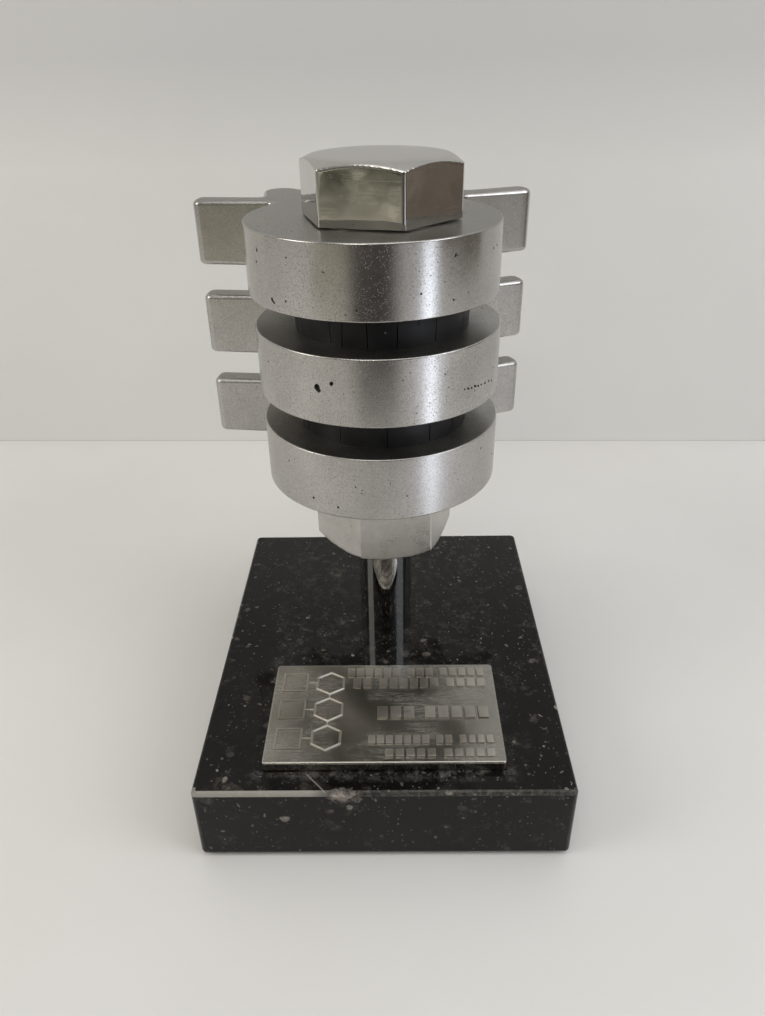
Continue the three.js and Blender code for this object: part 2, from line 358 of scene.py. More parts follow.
def applied(piece, kind, **settings):
    """Adds a modifier with these settings and applies it."""
    only(piece)
    modifier = piece.modifiers.new(kind.lower(), kind)
    for key, value in settings.items():
        setattr(modifier, key, value)
    bpy.ops.object.modifier_apply(modifier=modifier.name)


def combined(piece, tools, operation="DIFFERENCE"):
    """Cuts the tools out of the piece, or joins them to it, and removes them."""
    for tool in tools:
        only(piece)
        modifier = piece.modifiers.new("cut", "BOOLEAN")
        modifier.operation = operation
        modifier.solver = "EXACT"
        modifier.use_self = operation == "UNION" or len(tool.data.polygons) > 200
        modifier.material_mode = "TRANSFER"
        modifier.object = tool
        bpy.ops.object.modifier_apply(modifier=modifier.name)
        bpy.data.objects.remove(tool)


def joined(pieces, name):
    only(*pieces)
    bpy.ops.object.join()
    piece = bpy.context.object
    piece.name = name
    return piece


def smooth(piece, degrees=30):
    """Smooth shading that keeps the flat faces flat."""
    only(piece)
    bpy.ops.object.shade_smooth_by_angle(angle=radians(degrees))
    applied(piece, "WEIGHTED_NORMAL", keep_sharp=True)


def covered(piece, *materials):
    piece.data.materials.clear()
    for material in materials:
        piece.data.materials.append(material)


def pebbles(name, places, seed, material=None, level=2):
    """Small rough lumps, used as tools: each is (x, y, z, radius, flatness, turn)."""
    lumps = []
    for number, (x, y, z, radius, flatness, turn) in enumerate(places):
        bpy.ops.mesh.primitive_ico_sphere_add(
            subdivisions=level, radius=radius, location=(x, y, z),
            rotation=(0.3 * turn, 0, turn), scale=(1, 1, flatness),
        )
        lump = bpy.context.object
        bpy.ops.object.mode_set(mode="EDIT")
        bpy.ops.transform.vertex_random(offset=radius * 0.28, seed=seed + number)
        done_editing()
        settle(lump)
        lumps.append(lump)
    tool = joined(lumps, name)
    if material:
        covered(tool, material)
    return tool


def warped(material, where, scale, amount, detail):
    """The place, pushed about by a noise, so that patterns on it turn ragged."""
    inputs = {"Vector": where, "Scale": scale, "Detail": detail}
    drift = node(material, "TexNoise", inputs).outputs["Color"]
    inputs = {0: amount, 1: where, 2: drift}
    return node(material, "MixRGB", inputs, blend_type="ADD").outputs[0]


def spots(material, where, scale, core, reach, share):
    """Round spots in this share of a texture's cells, and the cells' own tints."""
    cells = node(material, "TexVoronoi", {"Vector": where, "Scale": scale})
    tint = node(material, "SeparateColor", {0: cells.outputs["Color"]}).outputs
    inside = spread(material, cells.outputs["Distance"], core, reach, 1, 0)
    return times(material, inside, maths(material, "LESS_THAN", tint[0], share)), tint


def marble(name, ground, polish, dust_and_highlight_amount):
    """Black marble with grey shell flecks of three sizes; the last argument adds a dusty bloom and
    a painted highlight towards the left end.
    """
    material = new_surface(name, {"IOR": 1.5, "Specular IOR Level": 0.22})
    where = position(material)
    bent = warped(material, where, 260, 0.0035, 3)
    layers = []
    for scale, reach, share, tone in (
        (150, 0.22, 0.34, 0.7), (330, 0.2, 0.34, 0.8), (800, 0.2, 0.42, 0.9),
    ):
        kept, tint = spots(material, bent, scale, reach * 0.72, reach, share)
        depth = spread(material, tint[1], 0, 1, 0.2, 1)
        layers.append(times(material, times(material, kept, depth), tone))
    flecks = maths(
        material, "MAXIMUM", maths(material, "MAXIMUM", layers[0], layers[1]), layers[2]
    )
    veil = noise(material, bent, 170, 8, 0.75)
    cloud = spread(material, veil, 0.56, 0.74, 0, 0.38)
    flecks = maths(material, "MAXIMUM", flecks, cloud, clamp=True)
    tone = ramp(
        material, noise(material, where, 55, 4),
        [(0.3, (ground * 0.8, ground * 0.78, ground * 0.72)),
         (0.7, (ground * 1.5, ground * 1.4, ground * 1.2))],
    )
    shell = ramp(
        material, noise(material, where, 150, 3),
        [(0.35, (0.08, 0.065, 0.05)), (0.6, (0.25, 0.22, 0.19)), (0.8, (0.46, 0.43, 0.39))],
    )
    colour = mixed(material, flecks, tone, shell)
    # The bruise on the front edge: stunned stone, pale and open.
    place = node(material, "SeparateXYZ", {0: where})
    sides = [
        maths(
            material, "DIVIDE",
            maths(material, "SUBTRACT", place.outputs[axis], BRUISE_PLACE[axis]),
            BRUISE_REACH[axis],
        )
        for axis in range(3)
    ]
    square = [times(material, side, side) for side in sides]
    flat_away = maths(material, "ADD", square[0], square[1])
    away = maths(material, "SQRT", maths(material, "ADD", flat_away, square[2]))
    near = spread(material, away, 0.1, 1.0, 0.62, 0)
    broken = maths(material, "ADD", near, noise(material, where, 620, 7, 0.8))
    bruise = spread(material, broken, 0.86, 1.02, 0, 0.7)
    colour = mixed(material, bruise, colour, (0.34, 0.28, 0.25))
    # A pale scratch runs across the corner of the top to the bruise.
    past_middle = maths(material, "SUBTRACT", place.outputs[1], SCRATCH_Y)
    slant = times(material, past_middle, SCRATCH_SLOPE)
    across = maths(material, "SUBTRACT", place.outputs[0], SCRATCH_X)
    beside = maths(material, "ABSOLUTE", maths(material, "SUBTRACT", across, slant))
    along_it = maths(material, "ABSOLUTE", past_middle)
    scratch = times(
        material, spread(material, beside, 0.00008, 0.0003, 0.5, 0),
        spread(material, along_it, 0.0025, 0.0034, 1, 0),
    )
    colour = mixed(material, scratch, colour, (0.4, 0.37, 0.33))
    # Glue and dust left round the front of the plate.
    ahead = spread(material, place.outputs[1], -0.0580, -0.0552, 0, 1)
    behind = spread(material, place.outputs[1], -0.0545, -0.0525, 1, 0.25)
    aside = spread(
        material, maths(material, "ABSOLUTE", place.outputs[0]), 0.033, 0.037, 1, 0
    )
    smear = times(
        material, times(material, times(material, ahead, behind), aside),
        spread(material, noise(material, where, 330, 7, 0.75), 0.48, 0.72, 0, 1),
    )
    colour = mixed(material, times(material, smear, 0.4), colour, (0.3, 0.29, 0.27))
    # Dust, and a painted highlight that brightens the stone towards the left end.
    if dust_and_highlight_amount:
        powder = noise(material, where, 700, 6, 0.75)
        dust_and_highlight = spread(material, powder, 0.42, 0.7, 0.15 * dust_and_highlight_amount, dust_and_highlight_amount)
        painted_highlight_end = spread(material, place.outputs[0], -0.019, -0.012, 0.7, 0)
        dust_and_highlight = maths(material, "MAXIMUM", dust_and_highlight, painted_highlight_end)
        colour = mixed(material, dust_and_highlight, colour, (0.42, 0.4, 0.36))
    gloss = spread(material, noise(material, where, 38, 6), 0.35, 0.75, polish, polish + 0.07)
    gloss = maths(material, "ADD", gloss, times(material, smear, 0.35))
    gloss = maths(material, "ADD", gloss, times(material, bruise, 0.45), clamp=True)
    pitted = times(material, bruise, noise(material, where, 900, 5, 0.7))
    finish_with(
        material, Base_Color=colour, Roughness=gloss,
        Normal=bump(material, pitted, 0.0006, 0.8),
    )
    return material


polished = marble("polished_marble", 0.0042, 0.04, 0)
front_bevel_lit = marble("marble_bevel_dust_and_highlight", 0.01, 0.12, 0.25)
broken_stone = marble("chipped_marble", 0.06, 0.55, 0.8)

block = slab_between("stone_block", block_low, block_high)
pick(block, edges=lambda middle, along: abs(along.z) > 0.9)
bpy.ops.mesh.bevel(offset=BLOCK_CORNER, segments=6, affect="EDGES")
done_editing()
pick(block, edges=lambda middle, along: abs(along.z) < 0.1
     and (middle.z > block_high.z - 1e-5 or middle.z < block_low.z + 1e-5))
bpy.ops.mesh.bevel(offset=BLOCK_EASE, segments=3, affect="EDGES")
done_editing()
# The front top bevels take a lighter copy of the marble: partly dust, partly a painted highlight.
covered(block, polished, front_bevel_lit, broken_stone)
for face in block.data.polygons:
    tilted = 0.1 < face.normal.z < 0.99
    face.material_index = 1 if tilted and face.center.y < 0 else 0
edge_z, edge_y = block_high.z, block_low.y
chips = pebbles("edge_chips", [
    (-0.0125, edge_y + 0.0002, edge_z - 0.0004, 0.0016, 0.5, 0.3),
    (-0.0098, edge_y - 0.0001, edge_z - 0.0006, 0.0021, 0.55, 1.4),
    (-0.0071, edge_y - 0.0002, edge_z - 0.0021, 0.0015, 0.8, 2.3),
    (-0.0090, edge_y - 0.0005, edge_z - 0.0052, 0.0011, 0.9, 0.9),
    (0.0165, edge_y + 0.0003, edge_z - 0.0003, 0.0009, 0.6, 0.2),
    (0.0232, edge_y + 0.0002, edge_z - 0.0004, 0.0007, 0.6, 1.9),
    (0.0335, edge_y + 0.0002, edge_z - 0.0003, 0.0012, 0.5, 2.8),
    (-0.0496, edge_y + 0.0008, edge_z - 0.0003, 0.0016, 0.5, 1.1),
    (0.0497, edge_y + 0.0300, edge_z - 0.0002, 0.0010, 0.6, 0.7),
    (-0.0498, edge_y + 0.0620, edge_z - 0.0001, 0.0008, 0.6, 2.5),
    (0.0300, block_high.y, edge_z - 0.0002, 0.0010, 0.6, 1.6),
], 5, broken_stone)
pocket = cylinder_between(
    "pocket", STACK_X, STACK_Y, POCKET_RADIUS, block_low.z - 0.002, block_low.z + POCKET_DEPTH
)
screw_way = cylinder_between(
    "screw_way", STACK_X, STACK_Y, SCREW_HOLE, block_low.z - 0.002, block_high.z + 0.002, 48
)
for tool in (pocket, screw_way):
    covered(tool, polished)
combined(block, [chips, pocket, screw_way])
smooth(block)
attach(block, "base")
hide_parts("base_block")


# Felt: thin black wool felt glued under the block.
felt = new_surface("black_felt", {"Roughness": 0.95, "Sheen Weight": 0.4})
felt_place = position(felt)
felt_fibre = noise(felt, felt_place, 1500, 6, 0.8)
finish_with(
    felt,
    Base_Color=ramp(felt, felt_fibre, [(0.3, 0.008), (0.7, 0.03)]),
    Normal=bump(felt, felt_fibre, 0.0003, 0.9),
)
covered(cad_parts["felt_pad"], felt)


# Plate: cast pewter, nickel washed, with a raised pattern of rings, lines and plain bars.
# It is stuck on the block with thin double-sided tape.
PLATE_CORNER, PLATE_EASE = 0.0010, 0.0006
LINE, RELIEF = 0.00042, 0.00055
plate_low, plate_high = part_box("name_plate")
PLATE_TOP, PLATE_Y = plate_high.z, (plate_low.y + plate_high.y) / 2


def scuffed(name, dark, light, low, high, fine):
    """A soft white metal, handled and wiped: cloudy, with hairline scratches."""
    material = new_surface(name, {"Metallic": 1.0})
    where = position(material)
    clouds = noise(material, where, 70, 4, 0.5)
    tone = ramp(material, clouds, [(0.32, dark), (0.68, light)])
    lines = []
    for turn, stretch in ((0.35, (1, 14, 1)), (1.15, (1, 22, 1)), (2.2, (1, 17, 1))):
        turned_to = node(
            material, "Mapping",
            {"Vector": where, "Rotation": (0, 0, turn), "Scale": stretch},
        ).outputs["Vector"]
        level = noise(material, turned_to, 90, 3)
        apart = maths(material, "ABSOLUTE", maths(material, "SUBTRACT", level, 0.5))
        lines.append(spread(material, apart, 0.0, 0.012, 1, 0))
    hair = maths(material, "MAXIMUM", maths(material, "MAXIMUM", lines[0], lines[1]), lines[2])
    hair = times(material, hair, spread(material, clouds, 0.4, 0.6, 0, 1))
    grain = noise(material, where, fine, 4, 0.7)
    rough = spread(material, clouds, 0.3, 0.7, low, high)
    rough = maths(material, "ADD", rough, times(material, hair, 0.12))
    surface_height = maths(
        material, "ADD", times(material, grain, 0.5),
        times(material, hair, -0.6),
    )
    waves = bump(material, noise(material, where, 120, 2), 0.00012, 0.3)
    finish_with(
        material, Base_Color=tone, Roughness=rough,
        Normal=bump(material, surface_height, 0.00003, 0.6, waves),
    )
    return material


pewter = scuffed("cast_pewter", (0.34, 0.325, 0.29), (0.41, 0.395, 0.36), 0.2, 0.27, 1400)
rubbed = scuffed("rubbed_pewter", (0.43, 0.40, 0.35), (0.52, 0.49, 0.44), 0.28, 0.38, 1400)
plate = slab_between("name_plate_cast", plate_low, plate_high)
pick(plate, edges=lambda middle, along: abs(along.z) > 0.9)
bpy.ops.mesh.bevel(offset=PLATE_CORNER, segments=5, affect="EDGES")
done_editing()
pick(plate, edges=lambda middle, along: abs(along.z) < 0.1 and middle.z > PLATE_TOP - 1e-5)
bpy.ops.mesh.bevel(offset=PLATE_EASE, segments=4, affect="EDGES")
done_editing()
relief = []


def raised_bar(x, y, width, depth, lift=RELIEF):
    """A plain bar whose upper edges are softened, sunk a little in the plate."""
    bar = slab_between(
        "bar",
        (x - width / 2, PLATE_Y + y - depth / 2, PLATE_TOP - 0.0004),
        (x + width / 2, PLATE_Y + y + depth / 2, PLATE_TOP + lift),
    )
    pick(bar, edges=lambda middle, along: middle.z > PLATE_TOP)
    bpy.ops.mesh.bevel(offset=0.00016, segments=2, affect="EDGES")
    done_editing()
    relief.append(bar)


def raised_ring(x, y, radius, corners, turn=0.0):
    """A raised outline with the given number of corners."""
    bpy.ops.mesh.primitive_torus_add(
        location=(x, PLATE_Y + y, PLATE_TOP + 0.00002), rotation=(0, 0, turn),
        major_segments=corners, minor_segments=10,
        major_radius=radius, minor_radius=LINE,
    )
    ring_piece = bpy.context.object
    settle(ring_piece)
    relief.append(ring_piece)


# Five rows of plain upright bars stand at the right: (middle, height, left end, groups).
for row_y, tall, row_left, groups in (
    (0.0152, 0.0033, -0.0110, (6, 3, 5)),
    (0.0107, 0.0033, -0.0092, (2, 6, 4)),
    (-0.0011, 0.0043, -0.0020, (3, 5)),
    (-0.0111, 0.0028, -0.0044, (7, 2, 4)),
    (-0.0158, 0.0026, 0.0002, (5, 5)),
):
    gap = 2.2
    pitch = (0.0300 - row_left) / (sum(groups) * 4 + (len(groups) - 1) * gap)
    across = row_left
    for group in groups:
        for _ in range(group):
            raised_bar(across + 1.6 * pitch, row_y, 3.1 * pitch, tall)
            across += 4 * pitch
        across += gap * pitch
# At the left, three six-sided outlines climb beside three square ones.
for step in range(3):
    raised_ring(-0.0158, 0.0108 - 0.0105 * step, 0.0044, 6, pi / 6)
    raised_ring(-0.0261, 0.0112 - 0.0109 * step, 0.0049, 4, pi / 4)
    raised_bar(-0.0211, 0.0110 - 0.0107 * step, 0.0026, 0.0005, 0.0003)
for step in range(2):
    raised_bar(-0.0158, 0.0055 - 0.0105 * step, 0.0005, 0.0018, 0.0003)
pattern = joined(relief, "pattern")
combined(plate, [pattern], "UNION")
covered(plate, pewter, rubbed)
for face in plate.data.polygons:
    face.material_index = 1 if face.center.z > PLATE_TOP + 0.0001 else 0
smooth(plate, 35)
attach(plate, "base")
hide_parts("name_plate")

tape = new_surface("tape_edge", {"Roughness": 0.7})
tape_tone = noise(tape, position(tape), 900, 5, 0.7)
finish_with(
    tape,
    Base_Color=ramp(
        tape, tape_tone, [(0.35, (0.05, 0.047, 0.04)), (0.7, (0.3, 0.28, 0.25))]
    ),
    Normal=bump(tape, tape_tone, 0.0001, 0.6),
)
covered(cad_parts["plate_tape"], tape)


# Fixings: a zinc-plated screw with its washers comes up into the post from below, and a
# stud joins the post to the bolt. All are standard parts, turned and plated.
zinc = new_surface("zinc_plate", {"Metallic": 1.0})
zinc_place = position(zinc)
zinc_tone = noise(zinc, zinc_place, 380, 6, 0.7)
finish_with(
    zinc,
    Base_Color=ramp(
        zinc, zinc_tone, [(0.3, (0.42, 0.44, 0.46)), (0.7, (0.62, 0.64, 0.66))]
    ),
    Roughness=spread(zinc, zinc_tone, 0.3, 0.7, 0.3, 0.5),
    Normal=bump(zinc, noise(zinc, zinc_place, 1500, 4), 0.00005, 0.6),
)
for fixing in ("base_screw", "base_lock_washer", "base_washer", "joining_stud"):
    covered(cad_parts[fixing], zinc)


# Post: a short chromed steel bar, turned, buffed bright, and drilled at both ends.
POST_EASE = 0.0005
SCREW_BORE, SCREW_BORE_DEPTH, STUD_BORE_DEPTH = 0.00415, 0.017, 0.015
post_low, post_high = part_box("post")


def turned(name, profile, steps=144):
    """A solid turned on the stack's axis from (radius, height) points."""
    corners = [(STACK_X + radius, STACK_Y, height) for radius, height in profile]
    shape = bpy.data.meshes.new(name)
    shape.from_pydata(corners, [(i, i + 1) for i in range(len(corners) - 1)], [])
    piece = bpy.data.objects.new(name, shape)
    bpy.context.scene.collection.objects.link(piece)
    only(piece)
    bpy.ops.object.mode_set(mode="EDIT")
    bpy.ops.mesh.select_all(action="SELECT")
    bpy.ops.mesh.spin(
        steps=steps, angle=2 * pi, center=(STACK_X, STACK_Y, 0), axis=(0, 0, 1)
    )
    bpy.ops.mesh.select_all(action="SELECT")
    bpy.ops.mesh.remove_doubles(threshold=2e-6)
    bpy.ops.mesh.normals_make_consistent(inside=False)
    done_editing()
    return piece


def rounded(radius, height, ease, start, end, steps=4):
    """Points of a quarter round of size ease whose outer corner is (radius, height)."""
    middle = (radius - ease, height - ease if start < end else height + ease)
    points = []
    for i in range(steps + 1):
        angle = radians(start + (end - start) * i / steps)
        points.append((middle[0] + ease * cos(angle), middle[1] + ease * sin(angle)))
    return points


def plated(name, colour, low, high, haze):
    """Bright plating: nearly a mirror, with faint polishing lines and a breath of haze."""
    material = new_surface(name, {"Metallic": 1.0})
    where = position(material)
    clouds = noise(material, where, 95, 6, 0.6)
    tone = ramp(material, clouds, [(0.3, tuple(0.9 * c for c in colour)), (0.7, colour)])
    drawn = node(
        material, "Mapping", {"Vector": where, "Scale": (1, 1, 30)}
    ).outputs["Vector"]
    lines = noise(material, drawn, 70, 3)
    rough = spread(material, clouds, 0.4, 0.72, low, high)
    rough = maths(
        material, "ADD", rough, spread(material, lines, 0.6, 0.75, 0, haze)
    )
    finish_with(
        material, Base_Color=tone, Roughness=rough,
        Normal=bump(
            material, lines, 0.000012, 0.4,
            bump(material, noise(material, where, 120, 2), 0.00012, 0.35),
        ),
    )
    return material


post_radius = (post_high.x - post_low.x) / 2
post = turned("chromed_post", [
    (0, post_low.z + SCREW_BORE_DEPTH),
    (SCREW_BORE, post_low.z + SCREW_BORE_DEPTH),
    (SCREW_BORE, post_low.z),
    *rounded(post_radius, post_low.z, POST_EASE, -90, 0),
    *rounded(post_radius, post_high.z, POST_EASE, 0, 90),
    (SCREW_BORE, post_high.z),
    (SCREW_BORE, post_high.z - STUD_BORE_DEPTH),
    (0, post_high.z - STUD_BORE_DEPTH),
])
covered(post, plated("bright_chrome", (0.56, 0.555, 0.55), 0.03, 0.06, 0.04))
smooth(post)
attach(post, "base")
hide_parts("post")


# Nut: a tall steel hexagon nut, milled and tumbled satin, chamfered at both ends.
HEX_ACROSS, NUT_TURN = 0.036, -18.7
BOLT_RADIUS = 0.012
nut_low, nut_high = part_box("lower_nut")


def hexagon(name, bottom, top, turn, across=HEX_ACROSS):
    """A six-sided bar across the stack's axis, turned by the given degrees."""
    bpy.ops.mesh.primitive_cylinder_add(
        vertices=6, radius=across / sqrt(3), depth=top - bottom,
        location=(STACK_X, STACK_Y, (top + bottom) / 2), rotation=(0, 0, radians(turn)),
    )
    piece = bpy.context.object
    piece.name = name
    settle(piece)
    return piece


def worn_round(piece, grid, passes):
    """Rounds every edge a little, as tumbling or buffing does."""
    applied(piece, "REMESH", mode="VOXEL", voxel_size=grid, adaptivity=0)
    applied(piece, "SMOOTH", factor=0.5, iterations=passes)


def satin(name, dark, light, low, high):
    """Satin steel: blotchy from handling, with a fine random grain."""
    material = new_surface(name, {"Metallic": 1.0})
    where = position(material)
    blotch = noise(material, where, 130, 7, 0.65)
    stain = spread(material, noise(material, where, 60, 5, 0.6), 0.58, 0.7, 0, 0.35)
    tone = ramp(material, blotch, [(0.3, dark), (0.7, light)])
    tone = mixed(material, stain, tone, (0.34, 0.31, 0.27))
    grain = noise(material, where, 2600, 4, 0.7)
    finish_with(
        material, Base_Color=tone,
        Roughness=spread(material, blotch, 0.3, 0.7, low, high),
        Normal=bump(
            material, grain, 0.00002, 0.6,
            bump(material, noise(material, where, 420, 4), 0.00008, 0.3),
        ),
    )
    return material


corner = HEX_ACROSS / sqrt(3)
drop = (corner - HEX_ACROSS / 2) * 0.577
nut = hexagon("hex_nut", nut_low.z, nut_high.z, NUT_TURN)
nut_cap = turned("nut_cap", [
    (0, nut_low.z - 1e-5), (HEX_ACROSS / 2, nut_low.z - 1e-5),
    (corner + 1e-5, nut_low.z + drop), (corner + 1e-5, nut_high.z - drop),
    (HEX_ACROSS / 2, nut_high.z + 1e-5), (0, nut_high.z + 1e-5),
])
combined(nut, [nut_cap], "INTERSECT")
bore = BOLT_RADIUS + 0.00015
nut_bore = turned("nut_bore", [
    (0, nut_low.z - 0.001), (bore + 0.002, nut_low.z - 0.001), (bore, nut_low.z + 0.001),
    (bore, nut_high.z - 0.001), (bore + 0.002, nut_high.z + 0.001), (0, nut_high.z + 0.001),
])
combined(nut, [nut_bore])
worn_round(nut, 0.00034, 3)
covered(nut, satin("satin_steel", (0.42, 0.40, 0.375), (0.58, 0.565, 0.54), 0.24, 0.38))
only(nut)
bpy.ops.object.shade_smooth()
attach(nut, "base")
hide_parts("lower_nut")


# Vertebra links: three sand castings in aluminium, turned on the round front, belted and
# buffed. The skin is open in places, and the wings' edges are rubbed round.
DISC_RADIUS, DISC_Y, NECK, NECK_FILLET = 0.0333, 0.0031, 0.0268, 0.0026
DISC_SHIFT = {"vertebra_lower": -0.0003, "vertebra_middle": -0.0007, "vertebra_upper": -0.0016}
WING_THICK, WING_REACH, WING_BACK, WING_SWEEP, WING_CORNER = 0.0074, 0.0492, 0.038, 14, 0.0024
LOBE_X, LOBE_Y, LOBE, LOBE_FILLET = 0.024, 0.0472, 0.0056, 0.0016
VALLEY, SPINE, SPINE_STRAIGHT = 0.008, 0.0045, 0.0015
CANAL, CANAL_Y = 0.0055, 0.037
LINK_BORE = 0.0125
LINK_TURN = 7.6
RIM_EASE, WING_EASE = 0.00045, 0.0014


def arc(centre, radius, start, end, length=0.0006):
    """Points on an arc, which runs the shorter or longer way as the two angles say."""
    steps = max(3, round(abs(end - start) * radius / length))
    return [
        (centre[0] + radius * cos(start + (end - start) * i / steps),
         centre[1] + radius * sin(start + (end - start) * i / steps))
        for i in range(steps + 1)
    ]


def half_outline(shift):
    """Half of a link, from the front of its disc, which is off centre, to the spine."""
    sweep = radians(WING_SWEEP)
    out, up = (cos(sweep), sin(sweep)), (-sin(sweep), cos(sweep))
    half = WING_THICK / 2

    def on_wing(forward, outward):
        return (
            WING_REACH + forward * out[0] + outward * up[0],
            WING_BACK + forward * out[1] + outward * up[1],
        )

    def at_x(start, x):
        return (x, start[1] + (x - start[0]) * out[1] / out[0])

    neck_x = NECK + NECK_FILLET
    reach = DISC_RADIUS + NECK_FILLET
    disc_fillet = (neck_x, DISC_Y + sqrt(reach ** 2 - (neck_x - shift) ** 2))
    front_fillet = at_x(on_wing(0, -half - NECK_FILLET), neck_x)
    back_fillet = at_x(on_wing(0, half + LOBE_FILLET), LOBE_X + LOBE + LOBE_FILLET)
    spine_x = SPINE + VALLEY
    rise = sqrt((LOBE + VALLEY) ** 2 - (spine_x - LOBE_X) ** 2)
    valley = (spine_x, LOBE_Y + rise)
    tip_front = on_wing(-WING_CORNER, -half + WING_CORNER)
    tip_back = on_wing(-WING_CORNER, half - WING_CORNER)
    disc_angle = atan2(disc_fillet[1] - DISC_Y, neck_x - shift)
    valley_angle = atan2(valley[1] - LOBE_Y, valley[0] - LOBE_X)
    arcs = [
        ((shift, DISC_Y), DISC_RADIUS, -pi / 2, disc_angle),
        (disc_fillet, NECK_FILLET, disc_angle + pi, pi),
        (front_fillet, NECK_FILLET, pi, sweep + pi / 2),
        (tip_front, WING_CORNER, sweep - pi / 2, sweep),
        (tip_back, WING_CORNER, sweep, sweep + pi / 2),
        (back_fillet, LOBE_FILLET, sweep + 1.5 * pi, pi),
        ((LOBE_X, LOBE_Y), LOBE, 0, valley_angle),
        (valley, VALLEY, valley_angle + pi, pi),
        ((0, valley[1] + SPINE_STRAIGHT), SPINE, 0, pi / 2),
    ]
    points = []
    for one in arcs:
        for x, y in arc(*one):
            if not points or hypot(x - points[-1][0], y - points[-1][1]) > 2e-5:
                points.append((x, y))
    return points


def evened(points, length=0.0014):
    """Breaks the long straight stretches into short ones."""
    result = [points[0]]
    for x, y in points[1:]:
        x0, y0 = result[-1]
        steps = max(1, round(hypot(x - x0, y - y0) / length))
        result += [(x0 + (x - x0) * i / steps, y0 + (y - y0) * i / steps)
                   for i in range(1, steps + 1)]
    return result


def link_blank(name, bottom, top, shift):
    """The solid casting before drilling, with its rim crisp and its wings rubbed round."""
    right, left = evened(half_outline(shift)), evened(half_outline(-shift))
    outline = right + [(-x, y) for x, y in reversed(left[1:-1])]
    turn = radians(LINK_TURN)
    corners = [
        (STACK_X + x * cos(turn) - y * sin(turn),
         STACK_Y + x * sin(turn) + y * cos(turn), bottom)
        for x, y in outline
    ]
    count = len(corners)
    shape = bpy.data.meshes.new(name)
    shape.from_pydata(corners, [], [list(range(count))])
    piece = bpy.data.objects.new(name, shape)
    bpy.context.scene.collection.objects.link(piece)
    only(piece)
    bpy.ops.object.mode_set(mode="EDIT")
    bpy.ops.mesh.select_all(action="SELECT")
    bpy.ops.mesh.extrude_region_move(TRANSFORM_OT_translate={"value": (0, 0, top - bottom)})
    bpy.ops.mesh.select_all(action="SELECT")
    bpy.ops.mesh.normals_make_consistent(inside=False)
    done_editing()
    weight = piece.data.attributes.new("bevel_weight_edge", "FLOAT", "EDGE")
    for edge in piece.data.edges:
        a, b = (piece.data.vertices[i].co for i in edge.vertices)
        if abs(a.z - b.z) < 1e-6:
            x, y = (a.x + b.x) / 2 - STACK_X, (a.y + b.y) / 2 - STACK_Y
            behind = -x * sin(turn) + y * cos(turn)
            share = min(1, max(0, (behind - 0.023) / 0.01))
            weight.data[edge.index].value = (
                RIM_EASE + (WING_EASE - RIM_EASE) * share
            ) / WING_EASE
    applied(piece, "BEVEL", width=WING_EASE, segments=5, limit_method="WEIGHT",
            use_clamp_overlap=False)
    return piece


def drilled(piece, bottom, top):
    turn = radians(LINK_TURN)
    canal_x = STACK_X - CANAL_Y * sin(turn)
    canal_y = STACK_Y + CANAL_Y * cos(turn)
    tools = [
        cylinder_between("bore", STACK_X, STACK_Y, LINK_BORE, bottom - 0.001, top + 0.001, 128),
        cylinder_between("canal", canal_x, canal_y, CANAL, bottom - 0.001, top + 0.001, 72),
    ]
    combined(piece, tools)


def on_disc(shift, angle, height, radius=DISC_RADIUS):
    """A place on the round disc: degrees from the front towards the right, and height."""
    turn = radians(LINK_TURN)
    centre_x = STACK_X + shift * cos(turn) - DISC_Y * sin(turn)
    centre_y = STACK_Y + shift * sin(turn) + DISC_Y * cos(turn)
    return (
        centre_x + radius * sin(radians(angle)), centre_y - radius * cos(radians(angle)), height
    )


def cast_metal(name, dark, light, low, high, open_skin):
    """Buffed cast aluminium: cloudy sheen, fine grain and black open pores in patches."""
    material = new_surface(name, {"Metallic": 1.0})
    where = position(material)
    clouds = noise(material, where, 60, 7, 0.62)
    tone = ramp(material, clouds, [(0.3, dark), (0.7, light)])
    patches = noise(material, where, 48, 4, 0.6)
    pores = None
    for scale, reach, share in ((2600, 0.3, 0.5), (1500, 0.2, 0.4), (700, 0.12, 0.16)):
        bent = warped(material, where, scale * 2.2, 0.45 / scale, 2)
        limit = spread(material, patches, 0.42, 0.66, share * 0.12, share * open_skin)
        layer, _ = spots(material, bent, scale, reach * 0.6, reach, limit)
        pores = layer if pores is None else maths(material, "MAXIMUM", pores, layer)
    grain = noise(material, where, 2400, 4, 0.7)
    dusky = spread(material, grain, 0.42, 0.62, 0.0, 0.4)
    tone = mixed(material, dusky, tone, tuple(0.5 * c for c in dark))
    # The pores are coloured near-black.
    pore_darkening = times(material, pores, 0.8)
    colour = mixed(material, pore_darkening, tone, (0.07, 0.062, 0.055))
    rough = spread(material, clouds, 0.3, 0.72, low, high)
    rough = maths(material, "ADD", rough, times(material, pores, 0.3), clamp=True)
    height = maths(
        material, "SUBTRACT", times(material, grain, 0.12), pores
    )
    finish_with(
        material, Base_Color=colour, Roughness=rough,
        Normal=bump(
            material, height, 0.00004, 0.6,
            bump(material, noise(material, where, 210, 3), 0.00005, 0.3),
        ),
    )
    return material


pore_black = new_surface("pore_black", {"Metallic": 0.3, "Roughness": 0.75})
pore_tone = noise(pore_black, position(pore_black), 2500, 3)
finish_with(
    pore_black,
    Base_Color=ramp(
        pore_black, pore_tone, [(0.3, (0.008, 0.007, 0.006)), (0.7, (0.05, 0.045, 0.04))]
    ),
)

